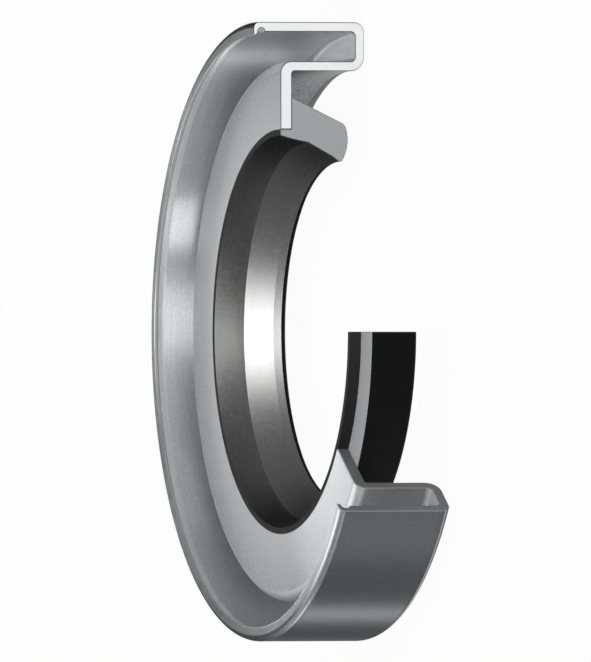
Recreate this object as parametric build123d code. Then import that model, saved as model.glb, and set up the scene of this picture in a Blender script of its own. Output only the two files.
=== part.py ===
from build123d import *
import os
from math import radians, tan

# Cutaway axle oil seal, in millimetres. The shaft's axis is Z and the origin is the middle of the
# sealing land on that axis. The open front of the case faces up, and the flat back wall faces down.

# Case: one sheet of steel, pressed into rings round the axis
outer_radius = 50.0
case_width = 19.0
wall = 1.55
channel_gap = 4.8
flange_thickness = 1.9
flange_setback = 4.65

# Bends of the sheet, outside and inside
seat_bend = 1.7
channel_bend = 0.8
flange_bend = 1.85
flange_root_bend = 0.5

# Thin hem that is rolled in at the front edge, and the round groove that lets it fold
hem_thickness = 0.72
hem_depth = 2.35
hem_bevel = 0.5
hem_bend = 0.95
relief_radius = 0.6

# Lip: rubber moulded round the flange's hole and onto its back. Heights stand out from the land,
# and the bond covers a share of the flange, from its hole to the inner wall.
seal_radius = 27.5
land_width = 0.5
land_setback = 14.9
flange_hole_height = 5.2
skin_thickness = 1.0
bond_share = 0.548
nose_height = 6.0
nose_setback = 0.77
nose_bulge_radius = 6.3
nose_round = 1.6
bevel_height = 0.8
bevel_angle = 37.0
throat_height = 3.1
sealing_cone_angle = 28.5
throat_hollow_radius = 30.0

# Stepped window: degrees of each ring that are cut away, from the +X section face clockwise
case_window = 125.0
lip_window = 90.0

# Places of the main faces along the axis
front = land_setback
back = front - case_width
flange_front = front - flange_setback
flange_back = flange_front - flange_thickness
channel_floor = back + wall
hem_back = front - hem_thickness

# Radii of the main faces
hem_tip = outer_radius - hem_depth
channel_outer = outer_radius - wall
channel_inner = channel_outer - channel_gap
inner_wall_radius = channel_inner - wall
inner_bend = channel_bend + wall
flange_hole_radius = seal_radius + flange_hole_height
rim_radius = flange_hole_radius - skin_thickness
heel_radius = flange_hole_radius + bond_share * (inner_wall_radius - flange_hole_radius)


def rounded(face, corners, radius):
    """Round the face's corners that lie at the given points."""
    return fillet([face.vertices().sort_by_distance(point)[0] for point in corners], radius)


def case_section():
    """The folded sheet in section, as radius and height, with its bends, hem and relief groove."""
    sheet = make_face(
        Polyline(
            (hem_tip, front),
            (outer_radius, front),
            (outer_radius, back),
            (inner_wall_radius, back),
            (inner_wall_radius, flange_back),
            (flange_hole_radius, flange_back),
            (flange_hole_radius, flange_front),
            (channel_inner, flange_front),
            (channel_inner, channel_floor),
            (channel_outer, channel_floor),
            (channel_outer, hem_back),
            (hem_tip + hem_bevel, hem_back),
            close=True,
        )
    )
    sheet = rounded(sheet, [(outer_radius, front)], hem_bend)
    sheet = rounded(sheet, [(outer_radius, back)], seat_bend)
    sheet = rounded(sheet, [(inner_wall_radius, back)], inner_bend)
    sheet = rounded(sheet, [(channel_inner, flange_front)], flange_bend)
    sheet = rounded(sheet, [(inner_wall_radius, flange_back)], flange_root_bend)
    floor_corners = [(channel_inner, channel_floor), (channel_outer, channel_floor)]
    sheet = rounded(sheet, floor_corners, channel_bend)
    return sheet - Pos(channel_outer, hem_back - relief_radius) * Circle(relief_radius)


def lip_section():
    """The rubber in section: skin under the flange, hollow throat, sealing cone, land and nose."""
    land_front = (seal_radius, land_width / 2)
    land_back = (seal_radius, -land_width / 2)
    bevel_top = (
        seal_radius + bevel_height,
        land_front[1] + bevel_height / tan(radians(bevel_angle)),
    )
    throat = (
        seal_radius + throat_height,
        bevel_top[1] + (throat_height - bevel_height) / tan(radians(sealing_cone_angle)),
    )
    nose = (seal_radius + nose_height, -nose_setback)
    rim = (rim_radius, flange_front)
    heel = (heel_radius, flange_back)
    outline = [
        Line(heel, nose),
        RadiusArc(nose, land_back, nose_bulge_radius),
        Line(land_back, land_front),
        Line(land_front, bevel_top),
        Line(bevel_top, throat),
        RadiusArc(throat, rim, -throat_hollow_radius),
        Polyline(
            rim,
            (flange_hole_radius, flange_front),
            (flange_hole_radius, flange_back),
            heel,
        ),
    ]
    return rounded(make_face(outline), [nose], nose_round)


def ring(section, window):
    """Turn a section round the axis, from +X through +Y, and leave the window open."""
    return revolve(Plane.XZ * section, Axis.Z, 360 - window)


parts = {
    "case": ring(case_section(), case_window),
    "sealing_lip": ring(lip_section(), lip_window),
}

os.makedirs("parts", exist_ok=True)
for name, part in parts.items():
    export_step(part, f"parts/{name}.step")
    box = part.bounding_box()
    print(f"{name}: {part.volume:.1f} mm3, size {box.size}, from {box.min}")
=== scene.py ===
from math import atan2, ceil, cos, degrees, pi, radians, sin, sqrt, tan

import bmesh
import bpy
from mathutils import Matrix, Vector


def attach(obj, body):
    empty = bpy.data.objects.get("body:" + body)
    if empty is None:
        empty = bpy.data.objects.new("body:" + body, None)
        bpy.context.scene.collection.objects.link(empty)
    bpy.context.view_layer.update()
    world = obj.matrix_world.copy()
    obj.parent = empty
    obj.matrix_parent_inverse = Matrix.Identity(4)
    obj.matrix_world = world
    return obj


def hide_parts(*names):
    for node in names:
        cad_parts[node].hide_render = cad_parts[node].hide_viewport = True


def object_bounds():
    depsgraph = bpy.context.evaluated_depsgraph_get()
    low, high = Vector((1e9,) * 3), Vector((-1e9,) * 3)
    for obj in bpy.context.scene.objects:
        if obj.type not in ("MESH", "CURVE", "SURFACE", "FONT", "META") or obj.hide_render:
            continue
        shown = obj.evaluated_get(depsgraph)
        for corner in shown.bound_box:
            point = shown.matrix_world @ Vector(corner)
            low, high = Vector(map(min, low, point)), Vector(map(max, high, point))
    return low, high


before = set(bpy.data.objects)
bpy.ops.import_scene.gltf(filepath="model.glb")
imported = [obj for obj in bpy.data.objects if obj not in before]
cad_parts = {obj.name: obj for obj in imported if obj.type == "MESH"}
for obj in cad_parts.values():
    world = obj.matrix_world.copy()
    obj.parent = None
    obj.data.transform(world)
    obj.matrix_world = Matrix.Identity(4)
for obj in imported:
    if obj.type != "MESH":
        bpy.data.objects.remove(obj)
cadLow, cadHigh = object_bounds()
mm = 0.001

# The view of the photo: the ring seen almost side on, turned so that its front faces left
photoView = {
    "width": 591,
    "height": 662,
    "tilt": 19.878,                     # degrees that the view stands off the ring's plane
    "pixelsPerMm": 6.196,
    "distance": 4.1156,                 # metres from the ring's front
    "frontCentre": (253.608, 331.663),  # pixel where the axis leaves the front
    "sensor": 36.0,
}


def placeCamera(view):
    sine = sin(radians(view["tilt"]))
    cosine = cos(radians(view["tilt"]))
    right = Vector((0, -sine, -cosine))
    up = Vector((1, 0, 0))
    back = Vector((0, -cosine, sine))
    scale = mm / view["pixelsPerMm"]
    acrossPixels = view["width"] / 2 - view["frontCentre"][0]
    upPixels = view["frontCentre"][1] - view["height"] / 2
    centre = Vector((0, 0, cadHigh.z)) + right * acrossPixels * scale + up * upPixels * scale
    data = bpy.data.cameras.new("photoCamera")
    data.sensor_width = view["sensor"]
    data.lens = view["sensor"] * view["distance"] / (view["height"] * scale)
    data.clip_start = 0.1
    data.clip_end = 100
    camera = bpy.data.objects.new("photoCamera", data)
    bpy.context.scene.collection.objects.link(camera)
    turn = Matrix((right, up, back)).transposed().to_4x4()
    camera.matrix_world = Matrix.Translation(centre + back * view["distance"]) @ turn
    bpy.context.scene.camera = camera


placeCamera(photoView)
print("camera placed")


# A shader socket that adds Math nodes when it stands in an expression
class Wire:
    def __init__(self, finish, socket):
        self.finish = finish
        self.socket = socket

    def __add__(self, other):
        return self.finish.math("ADD", self, other)

    def __radd__(self, other):
        return self.finish.math("ADD", other, self)

    def __sub__(self, other):
        return self.finish.math("SUBTRACT", self, other)

    def __rsub__(self, other):
        return self.finish.math("SUBTRACT", other, self)

    def __mul__(self, other):
        return self.finish.math("MULTIPLY", self, other)

    def __rmul__(self, other):
        return self.finish.math("MULTIPLY", other, self)

    def __truediv__(self, other):
        return self.finish.math("DIVIDE", self, other)

    def __rtruediv__(self, other):
        return self.finish.math("DIVIDE", other, self)

    def __pow__(self, other):
        return self.finish.math("POWER", self, other)

    def __rpow__(self, other):
        return self.finish.math("POWER", other, self)


# One surface finish: a Principled shader, its fixed values, and the nodes that feed it
class Finish:
    def __init__(self, name, fixed):
        self.material = bpy.data.materials.new(name)
        self.material.use_nodes = True
        self.tree = self.material.node_tree
        self.shader = self.tree.nodes["Principled BSDF"]
        for socket, value in fixed.items():
            self.shader.inputs[socket].default_value = value

    # Add a node: its type, its settings, and the values or links of its sockets
    def add(self, nodeType, settings=None, values=None, output=0):
        node = self.tree.nodes.new(nodeType)
        for name, setting in (settings or {}).items():
            setattr(node, name, setting)
        for name, value in (values or {}).items():
            self.feed(node.inputs[name], value)
        return Wire(self, node.outputs[output])

    def feed(self, socket, value):
        if isinstance(value, Wire):
            self.tree.links.new(value.socket, socket)
        else:
            socket.default_value = value

    def math(self, operation, first, second):
        return self.add("ShaderNodeMath", {"operation": operation}, {0: first, 1: second})

    def show(self, socket, value):
        self.feed(self.shader.inputs[socket], value)

    # The point that is shaded, in metres from the piece's origin
    def spot(self):
        return self.add("ShaderNodeTexCoord", output="Object")

    # The point's x, y and z, and its distance from the axis
    def place(self):
        spot = self.spot()
        x, y, z = [self.add("ShaderNodeSeparateXYZ", values={0: spot}, output=i) for i in range(3)]
        return x, y, z, (x * x + y * y) ** 0.5

    # Fine lines that run round the axis, as a rolled, drawn or turned sheet has
    def turnedLines(self, perMetre, alongTurn=6.0, detail=4.0, roughness=0.6):
        x, y, z, radius = self.place()
        around = self.add(
            "ShaderNodeCombineXYZ",
            values={0: x / radius * alongTurn, 1: y / radius * alongTurn, 2: z * perMetre},
        )
        return self.add(
            "ShaderNodeTexNoise",
            {"noise_dimensions": "4D"},
            {
                "Vector": around, "W": radius * perMetre,
                "Scale": 1.0, "Detail": detail, "Roughness": roughness,
            },
        )

    # Soft spots all over, so many to a metre
    def cloud(self, perMetre, detail=3.0, roughness=0.55):
        return self.add("ShaderNodeTexNoise", values={
            "Vector": self.spot(), "Scale": perMetre, "Detail": detail, "Roughness": roughness,
        })

    # Go from one colour, plain or already blended, to a plain one
    def blend(self, share, first, second):
        start = first if isinstance(first, Wire) else (*first, 1.0)
        return self.add(
            "ShaderNodeMix",
            {"data_type": "RGBA"},
            {"Factor": share, 6: start, 7: (*second, 1.0)},
            output=2,
        )

    # Let camera, glossy and transmission rays see the surface partly as a plain white sheet
    def glowInView(self, share):
        rays = [
            self.add("ShaderNodeLightPath", output=name)
            for name in ("Is Camera Ray", "Is Glossy Ray", "Is Transmission Ray")
        ]
        anyRay = rays[0] + rays[1] + rays[2]
        white = self.add("ShaderNodeEmission", values={"Strength": 1.0})
        lit = Wire(self, self.shader.outputs["BSDF"])
        mixed = self.add("ShaderNodeMixShader", values={0: anyRay * share, 1: lit, 2: white})
        self.feed(self.tree.nodes["Material Output"].inputs["Surface"], mixed)

    def bump(self, height, strength, distance):
        return self.add(
            "ShaderNodeBump",
            values={"Strength": strength, "Distance": distance, "Height": height},
        )


arcStep = 7.5  # degrees between two points of a bend


# Round one corner of a section with an arc of points that meets both runs smoothly
def bend(before, corner, after, radius):
    toBefore = (Vector(before) - Vector(corner)).normalized()
    toAfter = (Vector(after) - Vector(corner)).normalized()
    half = toBefore.angle(toAfter) / 2
    bisector = (toBefore + toAfter).normalized()
    centre = Vector(corner) + bisector * radius / sin(half)
    first = Vector(corner) + toBefore * radius / tan(half) - centre
    last = Vector(corner) + toAfter * radius / tan(half) - centre
    start = atan2(first.y, first.x)
    sweep = atan2(last.y, last.x) - start
    sweep = (sweep + pi) % (2 * pi) - pi
    return arc(centre, radius, start, start + sweep)


# Points of an arc. A section's point is a radius, a height, and whether it is a sharp corner.
def arc(centre, radius, start, end, step=arcStep, sharpEnds=False):
    count = max(2, ceil(abs(degrees(end - start)) / step))
    points = []
    for i in range(count + 1):
        angle = start + (end - start) * i / count
        sharp = sharpEnds and i in (0, count)
        points.append((centre[0] + radius * cos(angle), centre[1] + radius * sin(angle), sharp))
    return points


# Close a section: corners with a bend become arcs, and a long run gets a point near each smooth
# end, so that the shading of a bend doesn't spread over the flat beside it
def outline(items, hold=0.05, longRun=0.4):
    points = []
    for i, item in enumerate(items):
        if isinstance(item, list):
            points += item
            continue
        radius, height, bendRadius = item
        if bendRadius:
            before = items[i - 1]
            after = items[(i + 1) % len(items)]
            before = before[-1] if isinstance(before, list) else before
            after = after[0] if isinstance(after, list) else after
            points += bend(before[:2], (radius, height), after[:2], bendRadius)
        else:
            points.append((radius, height, True))
    held = []
    for i, point in enumerate(points):
        after = points[(i + 1) % len(points)]
        run = Vector(after[:2]) - Vector(point[:2])
        held.append(point)
        if run.length > longRun and not point[2]:
            held.append((*(Vector(point[:2]) + run.normalized() * hold), False))
        if run.length > longRun and not after[2]:
            held.append((*(Vector(after[:2]) - run.normalized() * hold), False))
    return held


# Move a closed section's points inward, each run by the same depth
def inset(points, depth):
    area = sum(a[0] * b[1] - b[0] * a[1] for a, b in zip(points, points[1:] + points[:1]))
    side = 1 if area > 0 else -1
    moved = []
    for i, point in enumerate(points):
        before = Vector(point[:2]) - Vector(points[i - 1][:2])
        after = Vector(points[(i + 1) % len(points)][:2]) - Vector(point[:2])
        before.normalize()
        after.normalize()
        inFirst = Vector((-before.y, before.x)) * side
        inSecond = Vector((-after.y, after.x)) * side
        shift = (inFirst + inSecond) / (1 + inFirst.dot(inSecond))
        moved.append((point[0] + shift.x * depth, point[1] + shift.y * depth))
    return moved


# Turn a closed section round the axis, from +X through +Y, a degree at a time, and leave its
# window open. The cut faces are parallel to the axis, and a fine break runs round their edges.
# The finishes are materials by name: firstCut, firstEdge, lastCut, lastEdge, and those that
# finishOf gives to the section's runs.
def turnRing(name, points, sizes, finishes, finishOf):
    turn = 360 - sizes["window"]
    edgeBreak = sizes["edgeBreak"]
    slotOf = {finish: i for i, finish in enumerate(finishes)}
    mesh = bpy.data.meshes.new(name)
    for material in finishes.values():
        mesh.materials.append(material)
    work = bmesh.new()
    steps = ceil(turn)
    sweep = radians(turn)
    inner = inset(points, edgeBreak)

    def station(section, angle, along):
        across = Vector((cos(angle), sin(angle), 0))
        around = Vector((-sin(angle), cos(angle), 0))
        return [
            work.verts.new((across * p[0] + around * along + Vector((0, 0, p[1]))) * mm)
            for p in section
        ]

    rows = [station(inner, 0, 0), station(points, 0, edgeBreak)]
    rows += [station(points, sweep * i / steps, 0) for i in range(1, steps)]
    rows += [station(points, sweep, -edgeBreak), station(inner, sweep, 0)]
    count = len(points)
    for i in range(len(rows) - 1):
        breakName = {0: "firstEdge", len(rows) - 2: "lastEdge"}.get(i)
        for j in range(count):
            k = (j + 1) % count
            face = work.faces.new((rows[i][j], rows[i][k], rows[i + 1][k], rows[i + 1][j]))
            face.smooth = True
            face.material_index = slotOf[breakName or finishOf(points[j], points[k])]
    for row, cut in ((rows[0], "firstCut"), (rows[-1], "lastCut")):
        face = work.faces.new(row)
        face.material_index = slotOf[cut]
    work.edges.ensure_lookup_table()
    for i in range(len(rows) - 1):
        for j in range(count):
            if points[j][2]:
                work.edges.get((rows[i][j], rows[i + 1][j])).smooth = False
    for i in (0, 1, len(rows) - 2, len(rows) - 1):
        for j in range(count):
            work.edges.get((rows[i][j], rows[i][(j + 1) % count])).smooth = False
    bmesh.ops.recalc_face_normals(work, faces=work.faces)
    work.to_mesh(mesh)
    work.free()

    # The brushed sheen follows this space, so it is centred on the axis and as wide as the ring
    mesh.use_auto_texspace = False
    mesh.texspace_location = (0, 0, 0)
    mesh.texspace_size = (0.05, 0.05, 0.05)
    piece = bpy.data.objects.new(name, mesh)
    bpy.context.scene.collection.objects.link(piece)
    return piece


caseSizes = {
    "outerRadius": 50.0,
    "width": 19.0,
    "wall": 1.55,
    "channelGap": 4.8,
    "flange": 1.9,
    "flangeSetback": 4.65,
    "flangeHole": 32.7,
    "seatBend": 1.7,
    "channelBend": 0.8,
    "flangeBend": 1.85,
    "flangeRootBend": 0.5,
    "hem": 0.72,
    "hemDepth": 2.35,
    "hemBevel": 0.5,
    "hemBend": 0.95,
    "hemRound": 0.12,
    "hemUnderRound": 0.3,
    "relief": 0.6,
    "window": 125.0,
    "edgeBreak": 0.12,
}


# Radii and heights of the sheet's main faces
def facesOf(sizes):
    front = cadHigh.z / mm
    back = front - sizes["width"]
    channelOuter = sizes["outerRadius"] - sizes["wall"]
    channelInner = channelOuter - sizes["channelGap"]
    flangeFront = front - sizes["flangeSetback"]
    return {
        "front": front,
        "back": back,
        "outer": sizes["outerRadius"],
        "channelOuter": channelOuter,
        "channelInner": channelInner,
        "innerWall": channelInner - sizes["wall"],
        "hole": sizes["flangeHole"],
        "floor": back + sizes["wall"],
        "flangeFront": flangeFront,
        "flangeBack": flangeFront - sizes["flange"],
        "hemTip": sizes["outerRadius"] - sizes["hemDepth"],
        "hemBack": front - sizes["hem"],
    }


caseFaces = facesOf(caseSizes)


def caseOutline(sizes, faces):
    reliefCentre = (faces["channelOuter"], faces["hemBack"] - sizes["relief"])
    relief = arc(reliefCentre, sizes["relief"], -pi / 2, pi / 2)
    relief[0] = (*relief[0][:2], True)   # the groove meets the wall sharply
    return outline([
        (faces["hemTip"], faces["front"], sizes["hemRound"]),
        (faces["outer"], faces["front"], sizes["hemBend"]),
        (faces["outer"], faces["back"], sizes["seatBend"]),
        (faces["innerWall"], faces["back"], sizes["channelBend"] + sizes["wall"]),
        (faces["innerWall"], faces["flangeBack"], sizes["flangeRootBend"]),
        (faces["hole"], faces["flangeBack"], 0),
        (faces["hole"], faces["flangeFront"], 0),
        (faces["channelInner"], faces["flangeFront"], sizes["flangeBend"]),
        (faces["channelInner"], faces["floor"], sizes["channelBend"]),
        (faces["channelOuter"], faces["floor"], sizes["channelBend"]),
        relief,
        (faces["hemTip"] + sizes["hemBevel"], faces["hemBack"], sizes["hemUnderRound"]),
    ])


# What each zone of the sheet starts from
plainSheet = {
    "metallic": 1.0,
    "lines": 3600,          # drawn lines, spots and grains in a metre
    "spots": 70,
    "grains": 3200,
    "streaks": 0.5,         # how much of the colour's change follows the lines and the spots
    "spotted": 0.1,
    "contrast": 3.5,
    "uneven": 0.25,         # how much the roughness changes, and how much of that the lines do
    "linedWear": 0.7,
    "depth": 0.00005,       # metres
    "holeFade": 9.0,        # millimetres from the flange's hole over which paintedLightByHole fades
    "cutFade": 0.15,        # drop of the cosine to the lower cut over which paintedHighlightByCut fades
}

# The sheet in each zone: its colour where dull and where worn, how rough and how brushed it is,
# how much of its shine is left edge on, and how deep its grain is. The zones are one sheet, and
# their colours differ as painted light and shade: the channel, its floor, the groove, the hem's
# tip and the round of its edge are painted light, and the seat, the hem, the throat, the inner
# wall and the strip under the hem are painted dark. paintedLightByHole and paintedHighlightByCut
# are the colours that it turns to by the flange's hole and by the lower cut, as painted light.
steelLook = {
    # Painted light: the channel's wall is painted lighter than the rest of the sheet, where it
    # lies in shade
    "channel": {
        "base": (0.76, 0.77, 0.79), "worn": (0.94, 0.95, 0.97),
        "roughness": 0.33, "brushed": 1.0, "edgeOn": 0.9, "grain": 0.22,
        "uneven": 0.05, "streaks": 0.4,
    },
    "flange": {
        # Painted light: the flange turns lighter towards its hole
        "base": (0.35, 0.356, 0.367), "worn": (0.52, 0.528, 0.54), "paintedLightByHole": (0.54, 0.549, 0.56),
        "roughness": 0.46, "brushed": 0.1, "edgeOn": 0.9, "grain": 0.4,
        "uneven": 0.1, "streaks": 0.15,
    },
    "bend": {
        "base": (0.48, 0.486, 0.497), "worn": (0.63, 0.636, 0.647),
        "roughness": 0.5, "brushed": 0.3, "edgeOn": 0.8, "grain": 0.3,
    },
    "throat": {
        "base": (0.1, 0.102, 0.105), "worn": (0.36, 0.364, 0.37),
        "roughness": 0.36, "brushed": 0.7, "edgeOn": 0.8, "grain": 0.35,
        "streaks": 0.25,
    },
    "throatBend": {
        "base": (0.13, 0.132, 0.136), "worn": (0.28, 0.284, 0.29),
        "roughness": 0.4, "brushed": 0.5, "edgeOn": 0.5, "grain": 0.2,
    },
    "hem": {
        "base": (0.12, 0.124, 0.129), "worn": (0.19, 0.195, 0.2), "paintedHighlightByCut": (0.36, 0.365, 0.373),
        "roughness": 0.42, "brushed": 0.9, "edgeOn": 0.8, "grain": 0.3,
    },
    "hemBend": {
        "base": (0.15, 0.154, 0.16), "worn": (0.23, 0.234, 0.242), "paintedHighlightByCut": (0.55, 0.556, 0.567),
        "roughness": 0.4, "brushed": 0.4, "edgeOn": 0.1, "grain": 0.3,
    },
    # Painted highlight: a light line along the round of the hem's tip
    "hemEdgeHighlight": {
        "base": (0.38, 0.385, 0.394), "worn": (0.52, 0.526, 0.536), "paintedHighlightByCut": (0.85, 0.857, 0.87),
        "roughness": 0.4, "brushed": 0.9, "edgeOn": 0.8, "grain": 0.2,
    },
    # Painted shade: a near-black strip under the hem's tip, in its gap
    "hemUnderShade": {
        "base": (0.02, 0.02, 0.021), "worn": (0.05, 0.051, 0.053),
        "roughness": 0.6, "brushed": 0.1, "edgeOn": 0.3, "grain": 0.2,
    },
    # Painted highlight: the hem's tip face is painted light, as a bright line
    "hemTip": {
        "base": (0.6, 0.606, 0.615), "worn": (0.76, 0.767, 0.777),
        "roughness": 0.4, "brushed": 0.3, "edgeOn": 0.8, "grain": 0.2,
        "metallic": 0.0,
    },
    "innerWall": {
        "base": (0.46, 0.467, 0.48), "worn": (0.56, 0.567, 0.58),
        "roughness": 0.33, "brushed": 1.0, "edgeOn": 0.9, "grain": 0.12,
        "uneven": 0.05, "streaks": 0.3,
    },
    # Painted light: the channel's floor is painted light, where it lies in shade
    "floor": {
        "base": (0.7, 0.708, 0.72), "worn": (0.8, 0.808, 0.82),
        "roughness": 0.5, "brushed": 0.3, "edgeOn": 1.0, "grain": 0.1,
        "uneven": 0.1,
    },
    # Painted light: the groove under the hem is painted light, where it lies in shade
    "groove": {
        "base": (0.82, 0.828, 0.84), "worn": (0.93, 0.937, 0.947),
        "roughness": 0.5, "brushed": 0.9, "edgeOn": 0.8, "grain": 0.2,
        "metallic": 0.6,
    },
    # Painted highlight: a light strip along the seat's bend
    "seatBend": {
        "base": (0.26, 0.264, 0.27), "worn": (0.34, 0.345, 0.352),
        "roughness": 0.35, "brushed": 0.3, "edgeOn": 0.9, "grain": 0.2,
    },
    # Painted shade: the seat, the outside of the case, is painted dark
    "seat": {
        "base": (0.1, 0.102, 0.106), "worn": (0.121, 0.124, 0.128),
        "roughness": 0.4, "brushed": 0.95, "edgeOn": 0.35, "grain": 0.3,
        "uneven": 0.1, "streaks": 0.15,
    },
}


def steelFinish(name, zoneLook):
    look = {**plainSheet, **zoneLook}
    finish = Finish(name, {
        "Metallic": look["metallic"],
        "Anisotropic": look["brushed"],
        "Anisotropic Rotation": 0.25,
        "Specular Tint": (look["edgeOn"], look["edgeOn"], look["edgeOn"], 1.0),
    })
    lines = finish.turnedLines(look["lines"])
    spots = finish.cloud(look["spots"])
    grain = finish.cloud(look["grains"], detail=1.0)
    streaks = look["streaks"]
    share = lines * streaks + spots * look["spotted"] + grain * (1 - look["spotted"] - streaks)
    colour = finish.blend((share - 0.5) * look["contrast"] + 0.5, look["base"], look["worn"])
    # Painted light: the flange's colour lightens towards its hole
    if "paintedLightByHole" in look:
        radius = finish.place()[3]
        outward = (radius / mm - caseFaces["hole"]) / look["holeFade"]
        colour = finish.blend(1.0 - outward, colour, look["paintedLightByHole"])
    # Painted highlight: the hem, its bend and its edge lighten towards the lower cut, near the
    # front only
    if "paintedHighlightByCut" in look:
        x, y, z, radius = finish.place()
        lastCut = radians(360 - caseSizes["window"])
        toCut = (x * cos(lastCut) + y * sin(lastCut)) / radius  # 1 at the lower cut
        rise = 1.0 - (cadHigh.z - z) / (caseSizes["hemBend"] * mm)
        nearCut = (toCut - (1 - look["cutFade"])) / look["cutFade"]
        colour = finish.blend(nearCut * rise * rise, colour, look["paintedHighlightByCut"])
    wear = lines * look["linedWear"] + grain * (1 - look["linedWear"]) - 0.5
    relief = lines * streaks + grain * (1 - streaks)
    finish.show("Base Color", colour)
    finish.show("Roughness", look["roughness"] + wear * look["uneven"])
    finish.show("Normal", finish.bump(relief, look["grain"], look["depth"]))
    return finish.material


# The case's cut faces and the breaks round them: the finish's name and its two colours. The first
# cut is painted white as lit and the second dark grey as in shade, with a painted dark outline on
# the first cut's break and a painted highlight on the second's.
caseCuts = {
    "firstEdge": ("paintedOutlineEdge", (0.02, 0.02, 0.022), (0.05, 0.05, 0.052)),
    "lastEdge": ("litEdge", (0.2, 0.203, 0.208), (0.3, 0.303, 0.308)),
    "firstCut": ("paintedLitCut", (0.95, 0.96, 0.975), (1.0, 1.0, 1.0)),
    "lastCut": ("paintedShadeCut", (0.11, 0.112, 0.115), (0.16, 0.162, 0.165)),
}


def cutFinish(name, base, worn, perMetre=2600):
    finish = Finish(name, {"Metallic": 0.0, "Roughness": 0.5})
    finish.show("Base Color", finish.blend(finish.cloud(perMetre, detail=2.0), base, worn))
    return finish.material


onFace = 0.01  # millimetres within which a run lies on a face

# Where zones end within a face or a bend, in millimetres
caseZones = {
    "seatDepth": 0.6,           # in from the outside
    "seatFoot": 1.0,            # up from the back
    "seatHighlightStrip": (0.65, 1.1),   # painted highlight strip on the seat's bend, up from the back
    "hemEdgeDepth": 0.192,      # down from the front
    "hemEdgeWidth": 0.24,       # out from the hem's tip
    "hemUnderRise": 0.14,       # up from the hem's back
    "innerWallDepth": 0.3,      # out from the channel's inner wall
}


# Which finish a run of the case's section has
def caseFinish(first, second):
    sizes, faces, zones = caseSizes, caseFaces, caseZones
    radius = (first[0] + second[0]) / 2
    height = (first[1] + second[1]) / 2
    inward = faces["outer"] - radius
    down = faces["front"] - height
    up = height - faces["back"]
    if max(inward, down) < sizes["hemBend"]:
        return "hemBend"
    # Painted highlight strip on the seat's bend
    if inward < zones["seatDepth"] and zones["seatHighlightStrip"][0] < up < zones["seatHighlightStrip"][1]:
        return "seatBend"
    # Painted shade: the seat is the sheet painted dark
    if inward < zones["seatDepth"] or inward < sizes["seatBend"] and up < zones["seatFoot"]:
        return "seat"
    # Painted highlight on the round of the hem's tip
    if down < zones["hemEdgeDepth"] and radius < faces["hemTip"] + zones["hemEdgeWidth"]:
        return "hemEdgeHighlight"
    if down < onFace:
        return "hem"
    # Painted highlight: the hem's tip face
    if down < sizes["hem"] - zones["hemUnderRise"]:
        return "hemTip"
    # Painted shade under the hem's tip
    if down < sizes["hem"] + onFace:
        return "hemUnderShade"
    # Painted light and shade: the groove, the channel's floor and its far wall are painted light,
    # the inner wall darker
    if radius > faces["channelOuter"] + onFace:
        return "groove"
    if radius > faces["channelInner"] - onFace:
        if height < faces["floor"] + sizes["channelBend"]:
            return "floor"
        farWall = radius > faces["channelInner"] + zones["innerWallDepth"]
        return "channel" if farWall else "innerWall"
    if height > faces["flangeFront"] - onFace:
        return "flange"
    if height > faces["flangeFront"] - sizes["flangeBend"] and radius > faces["innerWall"]:
        return "bend"
    return "throatBend" if onFace < up < sizes["wall"] + sizes["channelBend"] else "throat"


case = turnRing("pressedCase", caseOutline(caseSizes, caseFaces), caseSizes, {
    **{zone: steelFinish(zone + "Steel", look) for zone, look in steelLook.items()},
    **{face: cutFinish(*look) for face, look in caseCuts.items()},
}, caseFinish)
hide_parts("case")
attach(case, "root")
print("case turned", len(case.data.polygons))


lipSizes = {
    "sealRadius": 27.5,
    "landWidth": 0.5,
    "skin": 1.0,
    "bondShare": 0.548,   # of the flange, from its hole to the inner wall
    "noseHeight": 6.0,
    "noseSetback": 0.77,
    "noseBulge": 6.3,
    "noseRound": 1.6,
    "bevelHeight": 0.8,
    "bevelAngle": 37.0,
    "throatHeight": 3.1,
    "coneAngle": 28.5,
    "throatHollow": 30.0,
    "hollowStep": 1.2,    # degrees
    "window": 90.0,
    "edgeBreak": 0.09,
}


def angleOf(direction):
    return atan2(direction.y, direction.x)


# The middle of a circle through two points, on the side that the sign gives
def arcCentre(first, last, radius, side):
    chord = Vector(last) - Vector(first)
    middle = (Vector(first) + Vector(last)) / 2
    square = Vector((-chord.y, chord.x)).normalized()
    return middle + square * side * sqrt(radius ** 2 - (chord.length / 2) ** 2)


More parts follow.
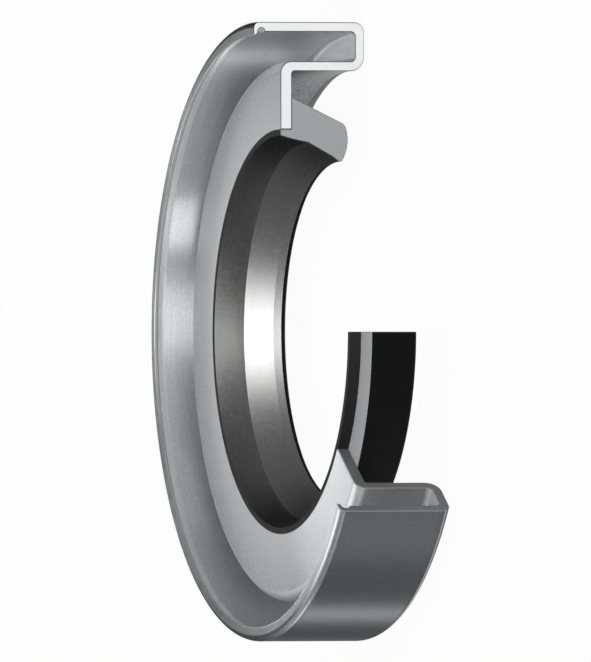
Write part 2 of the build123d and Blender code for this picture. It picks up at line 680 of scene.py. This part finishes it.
def lipOutline(sizes, faces):
    seal = sizes["sealRadius"]
    hole = faces["hole"]
    landFront = Vector((seal, sizes["landWidth"] / 2))
    landBack = Vector((seal, -sizes["landWidth"] / 2))
    bevelRun = sizes["bevelHeight"] / tan(radians(sizes["bevelAngle"]))
    bevelTop = landFront + Vector((sizes["bevelHeight"], bevelRun))
    coneHeight = sizes["throatHeight"] - sizes["bevelHeight"]
    throat = bevelTop + Vector((coneHeight, coneHeight / tan(radians(sizes["coneAngle"]))))
    nose = Vector((seal + sizes["noseHeight"], -sizes["noseSetback"]))
    rim = Vector((hole - sizes["skin"], faces["flangeFront"]))
    heelRadius = hole + sizes["bondShare"] * (faces["innerWall"] - hole)
    heel = Vector((heelRadius, faces["flangeBack"]))

    # The nose's round touches the outer cone and the bulge from inside
    bulgeCentre = arcCentre(nose, landBack, sizes["noseBulge"], -1)
    slope = (heel - nose).normalized()
    inward = Vector((-slope.y, slope.x))
    start = nose + inward * sizes["noseRound"] - bulgeCentre
    reach = sizes["noseBulge"] - sizes["noseRound"]
    along = -start.dot(slope) - sqrt(start.dot(slope) ** 2 - start.dot(start) + reach ** 2)
    roundCentre = bulgeCentre + start + slope * along
    coneEnd = angleOf(-inward)
    bulgeEnd = angleOf(roundCentre - bulgeCentre)
    landEnd = angleOf(landBack - bulgeCentre)
    noseArc = arc(roundCentre, sizes["noseRound"], coneEnd, bulgeEnd)
    bulge = arc(bulgeCentre, sizes["noseBulge"], bulgeEnd, landEnd)
    hollowCentre = arcCentre(throat, rim, sizes["throatHollow"], -1)
    hollow = arc(
        hollowCentre, sizes["throatHollow"],
        angleOf(throat - hollowCentre), angleOf(rim - hollowCentre), sizes["hollowStep"], True,
    )
    return outline([
        (heel.x, heel.y, 0),
        noseArc,
        bulge[1:-1],
        (landBack.x, landBack.y, 0),
        (landFront.x, landFront.y, 0),
        (bevelTop.x, bevelTop.y, 0),
        hollow,
        (hole, faces["flangeFront"], 0),
        (hole, faces["flangeBack"], 0),
    ])


# The rubber in each zone. The polished rubber of the bore mirrors a part of the light from any
# side, as a dark metal would, and elsewhere the mould has left it dull.
rubberLook = {
    "slick": {
        "base": (0.115, 0.115, 0.115), "worn": (0.165, 0.165, 0.164), "roughness": 0.4,
        "shader": {"Metallic": 1.0, "Specular Tint": (0.2, 0.2, 0.2, 1.0)},
    },
    # Painted shade: the hollow is the slick rubber painted darker, at the front of the bore
    "hollow": {
        "base": (0.06, 0.06, 0.06), "worn": (0.1, 0.1, 0.099), "roughness": 0.4,
        "shader": {"Metallic": 1.0, "Specular Tint": (0.15, 0.15, 0.15, 1.0)},
    },
    "dull": {
        "base": (0.001, 0.001, 0.001), "worn": (0.003, 0.003, 0.003), "roughness": 0.6,
        "shader": {"IOR": 1.12},
    },
    "rim": {
        "base": (0.012, 0.012, 0.012), "worn": (0.019, 0.019, 0.019), "roughness": 0.6,
        "shader": {"IOR": 1.16},
    },
    "seated": {
        "base": (0.004, 0.004, 0.004), "worn": (0.008, 0.008, 0.008), "roughness": 0.6,
        "shader": {"IOR": 1.2},
    },
    "primed": {
        "base": (0.14, 0.143, 0.147), "worn": (0.2, 0.203, 0.207), "roughness": 0.5,
        "shader": {"IOR": 1.5},
    },
}

# The lip's cut faces and the breaks round them
lipCuts = {
    "firstEdge": ("rubberEdge", (0.03, 0.03, 0.031), (0.06, 0.06, 0.061)),
    "lastEdge": ("rubberEdgeFar", (0.03, 0.03, 0.031), (0.06, 0.06, 0.061)),
    "firstCut": ("slicedRubber", (0.11, 0.113, 0.117), (0.165, 0.168, 0.172)),
    "lastCut": ("slicedRubberFar", (0.12, 0.123, 0.127), (0.18, 0.183, 0.187)),
}

# Mould marks: grains and lines in a metre, what they add to the roughness, and how strong and
# how deep, in metres, the grain is
mouldMarks = {
    "grains": 1800,
    "lines": 1500,
    "grainWear": 0.12,
    "lineWear": 0.06,
    "strength": 0.15,
    "depth": 0.00003,
}


def rubberFinish(name, look, marks):
    finish = Finish(name, look["shader"])
    grain = finish.cloud(marks["grains"])
    lines = finish.turnedLines(marks["lines"])
    wear = (grain - 0.5) * marks["grainWear"] + (lines - 0.5) * marks["lineWear"]
    finish.show("Base Color", finish.blend(grain, look["base"], look["worn"]))
    finish.show("Roughness", look["roughness"] + wear)
    finish.show("Normal", finish.bump(grain, marks["strength"], marks["depth"]))
    return finish.material


# Which finish a run of the lip's section has: the rim is the skin's front face, the seated face
# lies in the flange's hole, and the primed one is bonded to the flange's back. The outer cone, the
# nose and the land are dull, the hollow leads down from the rim, and the cone that meets the shaft
# is slick.
def lipFinish(first, second):
    radius = (first[0] + second[0]) / 2
    height = (first[1] + second[1]) / 2
    rimRadius = caseFaces["hole"] - lipSizes["skin"]
    throatRadius = lipSizes["sealRadius"] + lipSizes["throatHeight"]
    byFlange = min(first[0], second[0]) > rimRadius - onFace
    if byFlange and abs(first[1] - second[1]) < onFace:
        return "rim" if height > caseFaces["flangeFront"] - onFace else "primed"
    if byFlange and abs(first[0] - second[0]) < onFace:
        return "seated"
    if byFlange or height < lipSizes["landWidth"] / 2:
        return "dull"
    return "hollow" if radius > throatRadius else "slick"


lip = turnRing("rubberLip", lipOutline(lipSizes, caseFaces), lipSizes, {
    **{zone: rubberFinish(zone + "Rubber", look, mouldMarks) for zone, look in rubberLook.items()},
    **{face: cutFinish(*look) for face, look in lipCuts.items()},
}, lipFinish)
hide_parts("sealing_lip")
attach(lip, "root")
print("lip turned", len(lip.data.polygons))


studio = {
    "floorRadius": 1.5,                 # metres
    "floorColour": (0.95, 0.95, 0.95),
    "whiteInView": 0.96,                # share of the floor that looks plain white in view
    "world": (0.5, 0.5, 0.5),
}


def layFloor(sizes):
    work = bmesh.new()
    bmesh.ops.create_circle(work, cap_ends=True, segments=96, radius=sizes["floorRadius"])
    mesh = bpy.data.meshes.new("paleFloor")
    work.to_mesh(mesh)
    work.free()
    floor = bpy.data.objects.new("paleFloor", mesh)
    floor.location.z = cadLow.z
    bpy.context.scene.collection.objects.link(floor)
    finish = Finish("paleFloor", {"Roughness": 0.9, "Specular IOR Level": 0.0})
    finish.show("Base Color", (*sizes["floorColour"], 1.0))
    finish.glowInView(sizes["whiteInView"])
    mesh.materials.append(finish.material)


def setWorld(colour):
    world = bpy.data.worlds.new("studioAir")
    world.use_nodes = True
    world.node_tree.nodes["Background"].inputs["Color"].default_value = (*colour, 1.0)
    bpy.context.scene.world = world


# Soft panels, by what they light: azimuth is the compass side that a panel stands on, 0 at +X and
# 90 at +Y, and the level is its brightness, where 1 is a white sheet. The steel and the rubber
# have panels of their own, so that one's highlights don't wash the other out.
panels = {
    "all": {
        "top": {"azimuth": 0, "elevation": 88, "size": (0.4, 0.4), "level": 2.2},
    },
    "case": {
        "front": {"azimuth": 266, "elevation": 30, "size": (0.3, 0.2), "level": 1.2},
        "frontLeft": {"azimuth": 227, "elevation": 14, "size": (0.27, 0.16), "level": 6.6},
        "left": {"azimuth": 195, "elevation": 1, "size": (0.36, 0.05), "level": 11.0},
        "side": {"azimuth": 149, "elevation": 0.5, "size": (0.1, 0.03), "level": 175.0},
        "sideHigh": {"azimuth": 134, "elevation": 21, "size": (0.1, 0.12), "level": 15.0},
        "right": {"azimuth": 335, "elevation": 12, "size": (0.5, 0.2), "level": 0.4},
        "frontHigh": {"azimuth": 262, "elevation": 64, "size": (0.24, 0.34), "level": 10.0},
        "high": {"azimuth": 118, "elevation": 48, "size": (0.3, 0.1), "level": 11.0},
        "back": {"azimuth": 90, "elevation": 6, "size": (0.2, 0.05), "level": 36.0},
        "backRight": {"azimuth": 82, "elevation": 19, "size": (0.26, 0.06), "level": 1.6},
    },
    "lip": {
        "boreWide": {"azimuth": 272, "elevation": 38, "size": (0.9, 0.16), "level": 18.0},
        "boreCore": {"azimuth": 274, "elevation": 38, "size": (0.4, 0.16), "level": 11.0},
        "boreHigh": {"azimuth": 275, "elevation": 55, "size": (0.4, 0.1), "level": 14.0},
        "boreLow": {"azimuth": 275, "elevation": 7, "size": (0.4, 0.1), "level": 17.0},
    },
}


def hangPanel(name, panel, distance=0.8):
    light = bpy.data.lights.new(name, "AREA")
    light.shape = "RECTANGLE"
    light.size, light.size_y = panel["size"]
    light.energy = panel["level"] * pi * panel["size"][0] * panel["size"][1]
    lamp = bpy.data.objects.new(name, light)
    azimuth = radians(panel["azimuth"])
    elevation = radians(panel["elevation"])
    away = Vector((cos(azimuth) * cos(elevation), sin(azimuth) * cos(elevation), sin(elevation)))
    lamp.location = away * distance
    lamp.rotation_euler = away.to_track_quat("Z", "Y").to_euler()
    bpy.context.scene.collection.objects.link(lamp)
    return lamp


layFloor(studio)
setWorld(studio["world"])

receivers = {}
for lit, piece in {"case": case, "lip": lip}.items():
    receivers[lit] = bpy.data.collections.new(lit + "Only")
    receivers[lit].objects.link(piece)
for lit, group in panels.items():
    for name, panel in group.items():
        lamp = hangPanel(name, panel)
        if lit in receivers:
            lamp.light_linking.receiver_collection = receivers[lit]
print("studio lit")

bpy.context.scene.view_settings.view_transform = "Standard"
